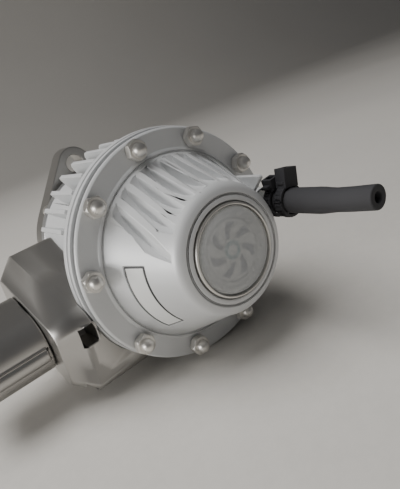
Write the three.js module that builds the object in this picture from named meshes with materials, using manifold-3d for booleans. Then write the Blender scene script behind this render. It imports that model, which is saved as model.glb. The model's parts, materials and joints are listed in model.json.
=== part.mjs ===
// Sequential turbo blow-off valve: a finned diaphragm housing with a conical cover and a vacuum hose,
// a two-stage valve on one rod, a side outlet and a rear inlet held in a two-bolt flange.
// Millimetres. The valve lies on its side: +Y runs along the main axis from the badge to the inlet,
// +X to the hose side, +Z up. The design frame has its zero where the main axis meets the front face
// of the cover flange. The group is shifted at the end so that zero is at the bottom centre.
import * as THREE from 'three';
import { mergeVertices } from 'three/addons/utils/BufferGeometryUtils.js';
import Module from 'manifold-3d';

const wasm = await Module();
wasm.setup();

// ---------------------------------------------------------------- driving dimensions
const GAP = 0.3;
const ROUND = 32;
const INNER_ROUND = 24;
const DEGREE = Math.PI / 180;

const FLANGE_R = 44;
const BOLT_CIRCLE_R = 40.2;
const BOLT_STEP = 36;
const BOLT_GROUP_STARTS = [28, 217.8];
const BOLTS_PER_GROUP = 5;
const BOLT_HOLE_R = 2.2;
const SHANK_R = 1.9;
const HEX_R = 4.04;
const HEX_H = 3.2;
const HEAD_H = 2.8;
const NUT_TURN = 10;
const DOME_R = 3;
const DOME_TOP = -6.8;

const COVER_BACK = 2.4;
const CONE_BASE_R = 34.8;
const CONE_SLOPE = 0.48;
const COVER_FRONT = -28.4;
const BADGE_R = 16.6;
const BADGE_FLOOR = -26.8;
const LABEL_MIDDLE = 194.7;
const LABEL_HALF_SPAN = 28;
const LABEL_BAND = [-15.2, -7.4];
const LABEL_DEPTH = 0.55;

const PLATE_COUNT = 8;
const PLATE_PITCH = 5.4;
const PLATE_FIRST_X = -20.6;
const PLATE_T = 2.2;
const POCKET_DEPTH = 3.4;
const POCKET_REAR = -5.6;
const POCKET_DEEP = -9.6;
const POCKET_TIP = -24.6;
const TALL_PLATE_TOP = 17.8;
const TALL_PLATE_H = 6.6;

const NIPPLE_X = 30.3;
const NIPPLE_Z = 4.9;
const NIPPLE_BOSS_R = 5;
const NIPPLE_BOSS_FRONT = -15;
const NIPPLE_TIP = -45;
const HOSE_R = 4.1;
const HOSE_STRETCHED_R = 4.65;
const HOSE_BORE_R = 1.8;
const HOSE_BACK = -19.6;
const HOSE_FRONT = -65;
const NIPPLE_R = 2.1;
const NIPPLE_COLLAR_R = 4.4;
const NIPPLE_BORE_R = 1.1;
const TIE_T = 1;
const TIE_HALF = 1.8;

const HOUSING_FRONT = 4;
const HOUSING_R = 44.8;
const HOUSING_BACK = 9.1;
const BARREL_R = 33;
const BARREL_BACK = 64;
const CHAMBER_R = 28;
const WALL_FRONT = 12.5;
const WALL_BACK = 16;
const HUB_R = 8.5;
const FIN_R = 43;
const FIN_T = 2.2;
const FIN_BACK = 40;
const FIN_STEP = 10;
const FIN_SECTORS = [[-105, -35], [-35, 25], [25, 95], [95, 155]];
const FIN_SLEEVE_R = 31.5;

const PORT_TILT = 18 * DEGREE;
const PORT_Y = 38;
const PORT_Z = -13.5;
const COLLAR_HALF = [32, 20];
const COLLAR_ROUND = 8;
const COLLAR_OUT = -49;
const BEVEL_DEPTH = 8;
const BEVEL_SIZE = 6;
const PIPE_HALF = [17.5, 12.5];
const PIPE_ROUND = 11;
const PIPE_END = -88;
const PORT_BORE_R = 9.5;
const PIPE_RIB_R = 3.4;
const SPIGOT_R = PORT_BORE_R + 3;
const SPIGOT_IN = COLLAR_OUT + 6 - GAP;
const SEAL_X = COLLAR_OUT - 3;
const GRUB_X = COLLAR_OUT + 3;
const LUG_R = 6;
const LUG_HOLE_R = 2.6;
const LUG_LENGTH = 14;

const ROD_R = 3.2;
const ROD_END_R = 2.5;
const PLATE_R = 24;
const MAIN_R = 21.5;
const MAIN_T = 4;
const SEAT_Y = BARREL_BACK - 4.8;
const MAIN_BACK = SEAT_Y - 1.8;
const MAIN_FRONT = MAIN_BACK - MAIN_T;
const PILOT_R = 10.5;
const PILOT_T = 3.5;
const PILOT_BACK = MAIN_FRONT - GAP;
const PORT_HOLES = 6;
const PORT_HOLE_R = 2.1;
const PORT_HOLE_CIRCLE_R = 6.8;
const PICKUP_GAP = 2.4;
const PICKUP_NUT_H = 3.4;
const INLET_BORE_R = 16.5;
const CAP_FLANGE_FRONT = BARREL_BACK + GAP;
const CAP_FLANGE_BACK = CAP_FLANGE_FRONT + 4.9;
const NECK_R = 24;
const NECK_BACK = BARREL_BACK + 21;
const CLIP_GROOVE = [NECK_BACK - 3.8, NECK_BACK - 2];
const SEAL_GROOVE = [NECK_BACK - 9.2, NECK_BACK - 6.8];
const FLANGE2_FRONT = BARREL_BACK + 9;
const FLANGE2_BACK = 83.2;
const CLIP_ROOM_R = 29.4;
const CLIP_ROOM_FLOOR = 81;
const FLANGE2_BOLT_Z = 36.8;
const FLANGE2_LOBE_R = 8;
const FLANGE2_WAIST_R = 31;
const FLANGE2_HOLE_R = 4.2;
const FLANGE2_EDGE = 0.5;
const CAP_SCREW_CIRCLE_R = 30.5;
const CAP_SCREW_R = 1.5;
const CAP_SCREW_HEAD_R = 2.7;

// ---------------------------------------------------------------- solid helpers
function solid(geometry) {
  const bare = geometry.clone();
  bare.deleteAttribute('normal');
  bare.deleteAttribute('uv');
  const merged = mergeVertices(bare, 1e-4);
  const points = merged.attributes.position;
  const index = merged.index.array;
  const kept = [];
  let volume = 0;
  const a = new THREE.Vector3();
  const b = new THREE.Vector3();
  const c = new THREE.Vector3();
  for (let i = 0; i < index.length; i += 3) {
    const [p, q, r] = [index[i], index[i + 1], index[i + 2]];
    if (p === q || q === r || r === p) continue;
    kept.push(p, q, r);
    a.fromBufferAttribute(points, p);
    b.fromBufferAttribute(points, q);
    c.fromBufferAttribute(points, r);
    volume += a.dot(b.cross(c));
  }
  if (volume < 0) kept.reverse();
  return new wasm.Manifold(new wasm.Mesh({
    numProp: 3,
    vertProperties: new Float32Array(points.array),
    triVerts: new Uint32Array(kept),
  }));
}

function joined(solids) {
  return solids.reduce((whole, next) => whole.add(next));
}

function cut(body, tools) {
  return tools.reduce((left, tool) => left.subtract(tool), body);
}

function geometryOf(body) {
  const mesh = body.getMesh();
  const geometry = new THREE.BufferGeometry();
  const step = mesh.numProp;
  const positions = new Float32Array(mesh.vertProperties.length / step * 3);
  for (let i = 0; i < positions.length / 3; i += 1) {
    for (let k = 0; k < 3; k += 1) positions[3 * i + k] = mesh.vertProperties[step * i + k];
  }
  geometry.setAttribute('position', new THREE.BufferAttribute(positions, 3));
  geometry.setIndex(new THREE.BufferAttribute(new Uint32Array(mesh.triVerts), 1));
  geometry.computeVertexNormals();
  return geometry;
}

// A body turned about the main axis from [radius, y] points; a profile off the axis closes on itself.
function turned(profile, segments = ROUND) {
  const closed = profile[0][0] === 0 ? profile : [...profile, profile[0]];
  return solid(new THREE.LatheGeometry(closed.map(([r, y]) => new THREE.Vector2(r, y)), segments));
}

function ring(innerR, outerR, y0, y1, segments = ROUND) {
  return turned([[innerR, y0], [outerR, y0], [outerR, y1], [innerR, y1]], segments);
}

// A ring of round section.
function torus(middleR, sectionR, y, segments = INNER_ROUND) {
  const sides = 6;
  const profile = [];
  for (let i = 0; i < sides; i += 1) {
    const turn = 2 * Math.PI * i / sides;
    profile.push([middleR + sectionR * Math.cos(turn), y + sectionR * Math.sin(turn)]);
  }
  return turned(profile, segments);
}

function rodY(r, y0, y1, x = 0, z = 0, segments = 16) {
  return solid(new THREE.CylinderGeometry(r, r, y1 - y0, segments).translate(x, (y0 + y1) / 2, z));
}

function rodX(r, x0, x1, y, z, segments = 24) {
  const geometry = new THREE.CylinderGeometry(r, r, x1 - x0, segments);
  return solid(geometry.rotateZ(Math.PI / 2).translate((x0 + x1) / 2, y, z));
}

function rodZ(r, z0, z1, x, y, segments = 12) {
  const geometry = new THREE.CylinderGeometry(r, r, z1 - z0, segments);
  return solid(geometry.rotateX(Math.PI / 2).translate(x, y, (z0 + z1) / 2));
}

function box(x0, x1, y0, y1, z0, z1) {
  const geometry = new THREE.BoxGeometry(x1 - x0, y1 - y0, z1 - z0);
  return solid(geometry.translate((x0 + x1) / 2, (y0 + y1) / 2, (z0 + z1) / 2));
}

// An outline of [y, z] points pushed along X from x0 to x1.
function slabX(outline, x0, x1) {
  const shape = new THREE.Shape(outline.map(([y, z]) => new THREE.Vector2(y, z)));
  const geometry = new THREE.ExtrudeGeometry(shape, { depth: x1 - x0, bevelEnabled: false });
  return solid(standAcross(geometry, x0));
}

// Moves an extrusion drawn in [y, z] so that it runs along X from x0.
function standAcross(geometry, x0) {
  const order = new THREE.Matrix4().set(0, 0, 1, x0, 1, 0, 0, 0, 0, 1, 0, 0, 0, 0, 0, 1);
  return geometry.applyMatrix4(order);
}

function aroundAxis(body, degrees) {
  return body.rotate([0, -degrees, 0]);
}

// Rounded rectangle in [y, z], tilted about the X direction, as a closed shape.
function portShape([halfY, halfZ], corner, cornerSides = 5) {
  const points = [];
  const corners = [[1, 1], [-1, 1], [-1, -1], [1, -1]];
  corners.forEach(([sy, sz], quarter) => {
    for (let i = 0; i <= cornerSides; i += 1) {
      const turn = (quarter + i / cornerSides) * Math.PI / 2;
      const y = sy * (halfY - corner) + corner * Math.cos(turn);
      const z = sz * (halfZ - corner) + corner * Math.sin(turn);
      points.push(new THREE.Vector2(y, z).rotateAround(new THREE.Vector2(), PORT_TILT));
    }
  });
  points.forEach((point) => point.add(new THREE.Vector2(PORT_Y, PORT_Z)));
  return new THREE.Shape(points);
}

// A coil about the main axis, from one wire centre plane to the other.
class Helix extends THREE.Curve {
  constructor(radius, y0, y1, turns) {
    super();
    Object.assign(this, { radius, y0, y1, turns });
  }

  getPoint(t, target = new THREE.Vector3()) {
    const turn = 2 * Math.PI * this.turns * t;
    const y = this.y0 + (this.y1 - this.y0) * t;
    return target.set(this.radius * Math.cos(turn), y, this.radius * Math.sin(turn));
  }
}

function coil(radius, wireR, y0, y1, turns, stepsPerTurn = 10) {
  const section = new THREE.Shape();
  section.absarc(0, 0, wireR, 0, 2 * Math.PI);
  const path = new Helix(radius, y0 + wireR, y1 - wireR, turns);
  const settings = { steps: turns * stepsPerTurn, curveSegments: 3, extrudePath: path };
  return solid(new THREE.ExtrudeGeometry(section, settings));
}

function boltAngles() {
  return BOLT_GROUP_STARTS.flatMap((start) => (
    Array.from({ length: BOLTS_PER_GROUP }, (_, i) => start + BOLT_STEP * i)));
}

function onCircle(radius, degrees) {
  const turn = degrees * DEGREE;
  return [radius * Math.cos(turn), radius * Math.sin(turn)];
}

function boltHoles(y0, y1, r = BOLT_HOLE_R) {
  return boltAngles().map((angle) => rodY(r, y0, y1, ...onCircle(BOLT_CIRCLE_R, angle), 8));
}

// ---------------------------------------------------------------- cover
function coneR(y) {
  return CONE_BASE_R + CONE_SLOPE * y;
}

function coneTop(x, y) {
  return Math.sqrt(coneR(y) ** 2 - x ** 2);
}

function coverPocket(x) {
  const clear = 9;
  const halfWidth = (PLATE_PITCH - PLATE_T) / 2;
  const outline = [
    [POCKET_REAR, coneTop(x, POCKET_REAR)],
    [POCKET_DEEP, coneTop(x, POCKET_DEEP) - POCKET_DEPTH],
    [POCKET_TIP, coneTop(x, POCKET_TIP)],
    [POCKET_TIP, coneTop(x, POCKET_TIP) + clear],
    [POCKET_REAR, coneTop(x, POCKET_REAR) + clear],
  ];
  return slabX(outline, x - halfWidth, x + halfWidth);
}

// The last plate stands clear of the cone and ends in an undercut nose.
function tallPlate(x) {
  const top = TALL_PLATE_TOP;
  const foot = top - TALL_PLATE_H;
  const outline = [
    [-10, top], [-24.8, top], [-25.7, top - 0.5], [-25.8, top - 1.4],
    [-19.2, foot], [-10, foot],
  ];
  return slabX(outline, x - PLATE_T / 2, x + PLATE_T / 2);
}

// A piece of cone shell over the label's field, drawn in from its edges by the margin.
function labelShell(inset, thickness, margin) {
  const y0 = LABEL_BAND[0] + margin;
  const y1 = LABEL_BAND[1] - margin;
  const shell = turned([
    [coneR(y0) - inset, y0], [coneR(y0) - inset + thickness, y0],
    [coneR(y1) - inset + thickness, y1], [coneR(y1) - inset, y1],
  ], 2 * ROUND);
  const reach = FLANGE_R * 1.5;
  const halfSpan = (LABEL_HALF_SPAN - margin * 2) * DEGREE;
  const wedge = new THREE.Shape([
    new THREE.Vector2(0, 0),
    new THREE.Vector2(reach * Math.cos(halfSpan), -reach * Math.sin(halfSpan)),
    new THREE.Vector2(reach * Math.cos(halfSpan), reach * Math.sin(halfSpan)),
  ]);
  const block = new THREE.ExtrudeGeometry(wedge, { depth: reach, bevelEnabled: false });
  block.rotateX(Math.PI / 2);
  return shell.intersect(aroundAxis(solid(block), LABEL_MIDDLE));
}

function coverOutside() {
  const land = COVER_FRONT - 0.2;
  return turned([
    [0, COVER_BACK], [FLANGE_R - 0.8, COVER_BACK], [FLANGE_R, COVER_BACK - 0.7],
    [FLANGE_R, 0.7], [FLANGE_R - 0.7, 0], [36, 0], [35.6, -1], [34.9, -1], [coneR(-0.6), -0.6],
    [coneR(-25), -25], [22.2, -27], [20.4, -28.2], [19.2, COVER_FRONT],
    [18.9, -27.6], [18.5, -27.6], [18.3, land], [BADGE_R, land],
    [BADGE_R, BADGE_FLOOR], [0, BADGE_FLOOR],
  ]);
}

function coverCavity() {
  const roof = BADGE_FLOOR + 2.4;
  return turned([
    [0, COVER_BACK + 1], [31, COVER_BACK + 1], [31, -1.5], [29.5, -4],
    [25.5, -9], [18.8, -22.5], [17, roof], [0, roof],
  ], INNER_ROUND);
}

// The nipple's boss is faced for the collar, the hose end and the ties' heads.
function nippleCuts() {
  const bore = (r, y0, y1, sides) => rodY(r, y0, y1, NIPPLE_X, NIPPLE_Z, sides);
  return [
    bore(2.8, NIPPLE_BOSS_FRONT - 1, NIPPLE_BOSS_FRONT + 8, 16),
    bore(NIPPLE_BORE_R + 0.1, -9, -1, 8),
    bore(4.8, HOSE_BACK - 1, NIPPLE_BOSS_FRONT, 16),
    bore(6.6, COVER_FRONT - 2, HOSE_BACK - 0.4, 16),
  ];
}

function frontCover() {
  const pockets = [];
  for (let i = 0; i < PLATE_COUNT; i += 1) {
    pockets.push(coverPocket(PLATE_FIRST_X + PLATE_PITCH * (i + 0.5)));
  }
  const lastX = PLATE_FIRST_X + PLATE_PITCH * PLATE_COUNT;
  const boss = rodY(NIPPLE_BOSS_R, NIPPLE_BOSS_FRONT, -4, NIPPLE_X, NIPPLE_Z, 20);
  const body = joined([cut(coverOutside(), pockets), tallPlate(lastX), boss]);
  return cut(body, [
    coverCavity(), ...nippleCuts(), labelShell(LABEL_DEPTH, 3, 0), ...boltHoles(-1, COVER_BACK + 1),
  ]);
}

function badgeBezel() {
  return turned([[15.3, -27.1], [16.2, -27.1], [16.2, -29.2], [15.3, -29.4]]);
}

function badgePlate() {
  return rodY(14.9, -27.6, -27.1, 0, 0, ROUND);
}

function badgeLens() {
  return turned([[0, -27.9], [14.9, -27.9], [14.9, -29], [13.4, -29.9], [9, -30.8], [0, -31.4]]);
}

// ---------------------------------------------------------------- nipple, hose and ties
// These are drawn about their own axis and stand in a group at the nipple's place.
function vacuumNipple() {
  const collarBack = NIPPLE_BOSS_FRONT - GAP;
  const stemBack = NIPPLE_BOSS_FRONT + 7.5;
  const body = turned([
    [0, NIPPLE_TIP], [1.7, NIPPLE_TIP], [2.6, NIPPLE_TIP + 4], [NIPPLE_R, NIPPLE_TIP + 4],
    [NIPPLE_R, HOSE_BACK + GAP], [NIPPLE_COLLAR_R, HOSE_BACK + GAP], [NIPPLE_COLLAR_R, collarBack],
    [2.5, collarBack], [2.5, stemBack], [0, stemBack],
  ], 16);
  return body.subtract(rodY(NIPPLE_BORE_R, NIPPLE_TIP - 1, 0, 0, 0, 8));
}

function vacuumHose() {
  const outer = turned([
    [0, HOSE_BACK], [HOSE_STRETCHED_R, HOSE_BACK], [HOSE_STRETCHED_R, NIPPLE_TIP + 1],
    [HOSE_R, NIPPLE_TIP - 3], [HOSE_R, HOSE_FRONT + 0.5], [HOSE_R - 0.4, HOSE_FRONT], [0, HOSE_FRONT],
  ], 16);
  const fit = 2.6 + GAP + 0.05;
  const bore = turned([
    [0, HOSE_BACK + 1], [fit, HOSE_BACK + 1], [fit, NIPPLE_TIP - 0.4],
    [HOSE_BORE_R, NIPPLE_TIP - 1.4], [HOSE_BORE_R, HOSE_FRONT - 1], [0, HOSE_FRONT - 1],
  ], 12);
  return outer.subtract(bore);
}

// A strap round the hose with a square head on top and the cut tail beside it.
function cableTie(y, [wide, high], tail) {
  const inner = HOSE_STRETCHED_R + GAP;
  const strap = ring(inner, inner + TIE_T, y - TIE_HALF, y + TIE_HALF, 16);
  const head = box(-wide / 2, wide / 2, y - 2.4, y + 2.4, inner + 0.2, inner + high);
  const stub = box(-wide / 2 - tail, 0, y - 1.5, y + 1.5, inner + 1.2, inner + 2.4);
  return cut(joined([strap, head, stub]), [rodY(inner, y - 3, y + 3, 0, 0, 16)]);
}

// ---------------------------------------------------------------- housing
function hexagon(y0, y1) {
  return rodY(HEX_R, y0, y1, 0, 0, 6);
}

function capNut() {
  const dome = turned([
    [0, -2], [DOME_R, -2], [DOME_R, -4.2], [DOME_R * 0.8, -5.7], [DOME_R * 0.4, -6.6], [0, DOME_TOP],
  ], 8);
  return hexagon(-GAP - HEX_H, -GAP).add(dome).subtract(rodY(SHANK_R + GAP, -4.3, 0, 0, 0, 8));
}

function flangeBolt() {
  const seat = HOUSING_BACK + GAP;
  return hexagon(seat, seat + HEAD_H).add(rodY(SHANK_R, -3.9, seat + 1, 0, 0, 8));
}

function diaphragm() {
  const [front, back] = [COVER_BACK + GAP, HOUSING_FRONT - GAP];
  const fold = 2.7;
  const body = turned([
    [3, front], [26, front], [28.4, front + fold], [30.8, front], [43.2, front],
    [43.2, back], [31.2, back], [28.4, back + fold + 0.3], [25.6, back], [3, back],
  ], INNER_ROUND);
  return cut(body, boltHoles(2, 5));
}

function housingFin(angle) {
  const front = HOUSING_BACK + GAP;
  const outline = [
    [30, front], [35.4, front], [35.4, 12.9], [FIN_R, 17],
    [FIN_R, FIN_BACK - 1.5], [FIN_R - 1.5, FIN_BACK], [30, FIN_BACK],
  ];
  const shape = new THREE.Shape(outline.map(([r, y]) => new THREE.Vector2(r, y)));
  const plate = new THREE.ExtrudeGeometry(shape, { depth: FIN_T, bevelEnabled: false });
  return aroundAxis(solid(plate.translate(0, 0, -FIN_T / 2)), angle);
}

// A wedge about the main axis between two angles.
function sector(from, to, y0, y1) {
  const shape = new THREE.Shape();
  for (let i = 0; i <= 4; i += 1) {
    const turn = (from + (to - from) * i / 4) * DEGREE;
    shape.lineTo(60 * Math.cos(turn), 60 * Math.sin(turn));
  }
  const wedge = new THREE.ExtrudeGeometry(shape, { depth: y1 - y0, bevelEnabled: false });
  return solid(wedge.rotateX(Math.PI / 2).translate(0, y1, 0));
}

// The thin sleeve between two angles with the fins that stand on it.
function finSector([from, to]) {
  const front = HOUSING_BACK + GAP;
  const fins = [];
  for (let angle = from + FIN_STEP / 2; angle < to; angle += FIN_STEP) fins.push(housingFin(angle));
  const sleeve = ring(FIN_SLEEVE_R, BARREL_R, front, FIN_BACK);
  const arc = sleeve.intersect(sector(from + 0.25, to - 0.25, front - 1, FIN_BACK + 1));
  return cut(joined([arc, ...fins]), [
    rodY(FIN_SLEEVE_R, 0, BARREL_BACK, 0, 0, ROUND), ...boltHoles(HOUSING_BACK, 14, HEX_R + 0.7),
  ]);
}

function finSeat([from, to]) {
  const [front, back] = [HOUSING_BACK, FIN_BACK + GAP];
  const room = ring(FIN_SLEEVE_R - GAP, BARREL_R + 1, front, back);
  return room.intersect(sector(from - 0.1, to + 0.1, front - 1, back + 1));
}

function collarBlock() {
  const inside = -22;
  const settings = {
    depth: inside - COLLAR_OUT,
    bevelEnabled: true,
    bevelThickness: BEVEL_DEPTH,
    bevelSize: BEVEL_SIZE,
    bevelOffset: -BEVEL_SIZE,
    bevelSegments: 1,
  };
  const geometry = new THREE.ExtrudeGeometry(portShape(COLLAR_HALF, COLLAR_ROUND), settings);
  return solid(standAcross(geometry, COLLAR_OUT));
}

// A round ear under the collar, level with the housing rim, drilled along the main axis.
function lug(y0) {
  const y1 = y0 + LUG_LENGTH;
  const z = -HOUSING_R + LUG_R;
  const x = COLLAR_OUT + 2;
  const web = box(x - LUG_R, x + LUG_R, y0, y1, z, z + 9);
  return rodY(LUG_R, y0, y1, x, z, 24).add(web).subtract(rodY(LUG_HOLE_R, y0 - 1, y1 + 1, x, z, 12));
}

function housingOutside() {
  return turned([
    [0, HOUSING_FRONT], [44.5, HOUSING_FRONT], [44.5, 6], [44.1, 6.1], [44.1, 6.4],
    [HOUSING_R, 6.5], [HOUSING_R, HOUSING_BACK], [BARREL_R, HOUSING_BACK],
    [BARREL_R, BARREL_BACK], [0, BARREL_BACK],
  ]);
}

// The diaphragm's room, the wall with the rod's hub, and the valve chamber behind it.
function housingRooms() {
  const frontRoom = turned([
    [0, HOUSING_FRONT - 1], [31.5, HOUSING_FRONT - 1], [31.5, 8],
    [27, WALL_FRONT], [HUB_R, WALL_FRONT], [HUB_R, 8.3], [0, 8.3],
  ], INNER_ROUND);
  const hubBack = WALL_BACK + 5.5;
  const chamber = turned([
    [0, hubBack], [HUB_R, hubBack], [HUB_R, WALL_BACK],
    [CHAMBER_R, WALL_BACK], [CHAMBER_R, BARREL_BACK + 1], [0, BARREL_BACK + 1],
  ], INNER_ROUND);
  return [frontRoom, chamber, rodY(5.8, 0, 30, 0, 0, INNER_ROUND)];
}

function portCuts() {
  return [
    rodX(PORT_BORE_R, -60, -14, PORT_Y, PORT_Z),
    rodX(SPIGOT_R + 0.4, -60, COLLAR_OUT + 6, PORT_Y, PORT_Z),
    rodZ(2, -HOUSING_R - 1, PORT_Z, GRUB_X, PORT_Y),
    box(COLLAR_OUT - 1, COLLAR_OUT + 5, 3, 17, -17, -9),
  ];
}

// The casting is drawn as simple solids a small gap apart, so that each one's collision follows
// its shape: the turned body, the side block with its ears, and four sectors of fins.
function rearHousing() {
  const screwHoles = capScrewSpots().map(([x, z]) => (
    rodY(CAP_SCREW_R + GAP, BARREL_BACK - 10, BARREL_BACK + 1, x, z, 8)));
  return cut(housingOutside(), [
    ...housingRooms(), ...portCuts(), ...screwHoles, ...boltHoles(0, HOUSING_BACK + 1),
    ...FIN_SECTORS.map(finSeat),
  ]);
}

function sideBlock() {
  const wide = 2 * HOUSING_R;
  const flatBack = box(-wide, wide, BARREL_BACK, BARREL_BACK + 20, -wide, wide);
  const barrelRoom = rodY(BARREL_R + GAP, 0, BARREL_BACK + 20, 0, 0, ROUND);
  const rimRoom = rodY(HOUSING_R + GAP, -20, HOUSING_BACK + GAP, 0, 0, ROUND);
  const lugs = [lug(LUG_LENGTH), lug(BARREL_BACK - LUG_LENGTH)];
  return cut(joined([collarBlock(), ...lugs]), [
    flatBack, rimRoom, barrelRoom, ...portCuts(), ...boltHoles(HOUSING_BACK, 14, HEX_R + 0.7),
  ]);
}

// ---------------------------------------------------------------- outlet
// The pipe's outer shape follows the collar's tilt; its round spigot plugs into the collar.
function outletPipe() {
  const start = COLLAR_OUT - BEVEL_DEPTH - GAP;
  const settings = { depth: start - PIPE_END, bevelEnabled: false };
  const outline = new THREE.ExtrudeGeometry(portShape(PIPE_HALF, PIPE_ROUND), settings);
  const tube = solid(standAcross(outline, PIPE_END));
  const spigot = rodX(SPIGOT_R, start - 2, SPIGOT_IN, PORT_Y, PORT_Z);
  const reach = PIPE_HALF[0] - 1;
  const ribY = PORT_Y - reach * Math.cos(PORT_TILT);
  const ribZ = PORT_Z - reach * Math.sin(PORT_TILT) + 1;
  const rib = rodX(PIPE_RIB_R, PIPE_END + 4, start, ribY, ribZ, 10);
  const groove = rodX(SPIGOT_R + 2, SEAL_X - 1.1, SEAL_X + 1.1, PORT_Y, PORT_Z)
    .subtract(rodX(SPIGOT_R - 1.2, SEAL_X - 2, SEAL_X + 2, PORT_Y, PORT_Z));
  return cut(joined([tube, spigot, rib]), [
    rodX(PORT_BORE_R, PIPE_END - 1, SPIGOT_IN + 1, PORT_Y, PORT_Z), groove,
  ]);
}

// The grub screw bears on the pipe's spigot from below.
function grubScrew() {
  const top = PORT_Z - SPIGOT_R - GAP;
  const foot = top - 6;
  const socket = rodZ(0.9, foot - 1, foot + 2, GRUB_X, PORT_Y, 6);
  return rodZ(1.6, foot, top, GRUB_X, PORT_Y).subtract(socket);
}

// ---------------------------------------------------------------- valve train
function valveRod() {
  const shoulder = PILOT_BACK - PILOT_T - GAP;
  const back = MAIN_BACK + PICKUP_GAP + PICKUP_NUT_H + 1.2;
  return turned([
    [0, -4], [ROD_END_R, -4], [ROD_END_R, 5.5], [ROD_R, 5.5],
    [ROD_R, shoulder], [ROD_END_R, shoulder], [ROD_END_R, back], [0, back],
  ], 16);
}

function rodNut(y0, height) {
  const hex = rodY(5, y0, y0 + height, 0, 0, 6);
  return hex.subtract(rodY(ROD_END_R + GAP, y0 - 1, y0 + height + 1, 0, 0, 16));
}

// The two dished plates that clamp the middle of the diaphragm.
function frontPlate() {
  const bore = ROD_END_R + GAP;
  return turned([
    [bore, 1.2], [bore, 2.4], [PLATE_R, 2.4], [PLATE_R, 0.6], [22.8, 0.6], [22.4, 1.2],
  ], INNER_ROUND);
}

function rearPlate() {
  const bore = ROD_END_R + GAP;
  return turned([
    [bore, 4], [bore, 5.2], [22.4, 5.2], [22.8, 5.8], [PLATE_R, 5.8], [PLATE_R, 4],
  ], INNER_ROUND);
}

function pilotValve() {
  const front = PILOT_BACK - PILOT_T;
  const bore = ROD_END_R + GAP;
  return turned([
    [bore, front], [bore, PILOT_BACK], [PILOT_R, PILOT_BACK], [PILOT_R, PILOT_BACK - 1.7], [5.4, front],
  ], 24);
}

// The disc has a raised ring inside the seat and six small ports that the pilot covers.
function mainValve() {
  const ringBack = MAIN_BACK + 1.2;
  const disc = turned([
    [2.9, MAIN_FRONT], [MAIN_R, MAIN_FRONT], [MAIN_R, MAIN_BACK], [17.2, MAIN_BACK],
    [16.2, ringBack], [11, ringBack], [10.4, MAIN_BACK], [2.9, MAIN_BACK],
  ], INNER_ROUND);
  const ports = [];
  for (let i = 0; i < PORT_HOLES; i += 1) {
    const spot = onCircle(PORT_HOLE_CIRCLE_R, 360 / PORT_HOLES * i);
    ports.push(rodY(PORT_HOLE_R, MAIN_FRONT - 1, ringBack, ...spot, 8));
  }
  return cut(disc, ports);
}

// ---------------------------------------------------------------- inlet end
function capScrewSpots() {
  return [45, 135, 225, 315].map((angle) => onCircle(CAP_SCREW_CIRCLE_R, angle));
}

function inletCap() {
  const spigot = CHAMBER_R - 0.4;
  const groove = spigot - 1.4;
  const sealFloor = NECK_R - 1.8;
  const clipFloor = NECK_R - 1.4;
  const body = turned([
    [INLET_BORE_R, SEAT_Y], [spigot, SEAT_Y], [spigot, SEAT_Y + 1.4], [groove, SEAT_Y + 1.4],
    [groove, SEAT_Y + 3.6], [spigot, SEAT_Y + 3.6], [spigot, CAP_FLANGE_FRONT],
    [BARREL_R, CAP_FLANGE_FRONT], [BARREL_R, CAP_FLANGE_BACK], [NECK_R, CAP_FLANGE_BACK],
    [NECK_R, SEAL_GROOVE[0]], [sealFloor, SEAL_GROOVE[0]],
    [sealFloor, SEAL_GROOVE[1]], [NECK_R, SEAL_GROOVE[1]],
    [NECK_R, CLIP_GROOVE[0]], [clipFloor, CLIP_GROOVE[0]],
    [clipFloor, CLIP_GROOVE[1]], [NECK_R, CLIP_GROOVE[1]],
    [NECK_R, NECK_BACK], [INLET_BORE_R, NECK_BACK],
  ], INNER_ROUND);
  const sleeve = ring(MAIN_R + GAP + 0.1, 25.2, MAIN_FRONT - 7, SEAT_Y + 1, INNER_ROUND);
  const windows = [0, 90].map((angle) => (
    aroundAxis(box(-40, 40, MAIN_FRONT - 9, SEAT_Y, -16, 16), angle)));
  const screwHoles = capScrewSpots().map(([x, z]) => (
    rodY(CAP_SCREW_R + GAP, BARREL_BACK, CAP_FLANGE_BACK + 1, x, z, 8)));
  return cut(body.add(cut(sleeve, windows)), screwHoles);
}

function inletScrew() {
  const seat = CAP_FLANGE_BACK + GAP;
  const headBack = seat + 2.8;
  const socket = rodY(1.4, headBack - 1.4, headBack + 1, 0, 0, 6);
  const head = rodY(CAP_SCREW_HEAD_R, seat, headBack, 0, 0, 12).subtract(socket);
  return head.add(rodY(CAP_SCREW_R, BARREL_BACK - 9, seat + 0.5, 0, 0, 8));
}

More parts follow.
